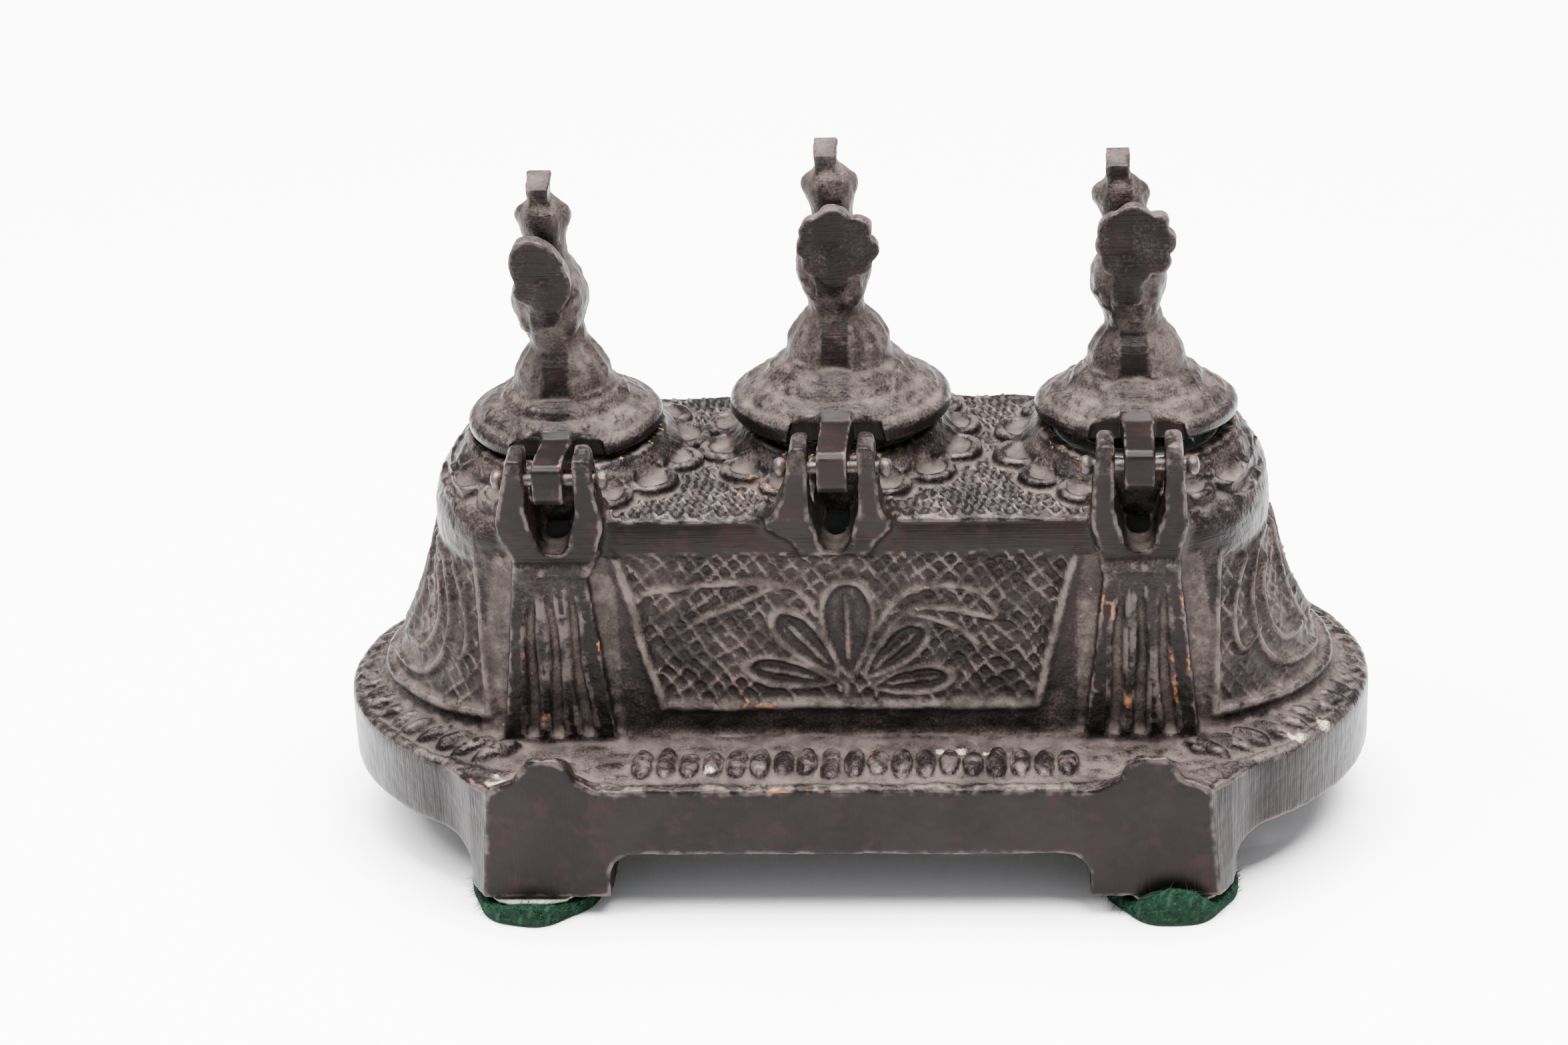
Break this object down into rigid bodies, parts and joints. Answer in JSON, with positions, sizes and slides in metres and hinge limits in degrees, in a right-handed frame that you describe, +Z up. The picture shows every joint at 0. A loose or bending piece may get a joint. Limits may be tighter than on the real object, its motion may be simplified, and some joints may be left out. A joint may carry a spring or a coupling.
{
  "type": "inkwell",
  "caption": "Cast bronze desk inkwell: a flared, footed stand with a row of wells under hinged lids that carry bird finials.",
  "frame": {"origin": "under the middle of the stand, on the surface that the felt pads rest on", "axes": "+Z up, -Y towards the writer, +Y towards the hinges, +X to the writer's right, along the row of wells"},
  "size_m": [0.1524, 0.0776, 0.1029],
  "materials": {
    "patinated_bronze": "dark brown patina over a sand-cast surface, filed flats, dust in the hollows",
    "pin_brass": "tarnished wire with worn bright ends",
    "pot_glass": "clear pressed glass",
    "green_felt": "fuzzy wool felt",
    "backing_paper": "dry adhesive backing"
  },
  "bodies": {
    "stand": {"stand": "patinated_bronze", "hinge_pin_left": "pin_brass", "hinge_pin_middle": "pin_brass", "hinge_pin_right": "pin_brass", "ink_pot_left": "pot_glass", "ink_pot_middle": "pot_glass", "ink_pot_right": "pot_glass", "felt_pad_front_left": "green_felt", "felt_pad_front_right": "green_felt", "felt_pad_rear_left": "green_felt", "felt_pad_rear_right": "green_felt", "pad_backing_front_left": "backing_paper", "pad_backing_front_right": "backing_paper", "pad_backing_rear_left": "backing_paper", "pad_backing_rear_right": "backing_paper"},
    "lid_left": {"lid_left": "patinated_bronze"},
    "lid_middle": {"lid_middle": "patinated_bronze"},
    "lid_right": {"lid_right": "patinated_bronze"}
  },
  "joints": [
    {"name": "lid_left_hinge", "type": "hinge", "parent": "stand", "child": "lid_left", "pos_m": [-0.0418, 0.01965, 0.0647], "axis": [-1, 0, 0], "range_deg": [0, 110]},
    {"name": "lid_middle_hinge", "type": "hinge", "parent": "stand", "child": "lid_middle", "pos_m": [0.0012, 0.01965, 0.0648], "axis": [-1, 0, 0], "range_deg": [0, 110]},
    {"name": "lid_right_hinge", "type": "hinge", "parent": "stand", "child": "lid_right", "pos_m": [0.0414, 0.01965, 0.0632], "axis": [-1, 0, 0], "range_deg": [0, 110]}
  ]
}
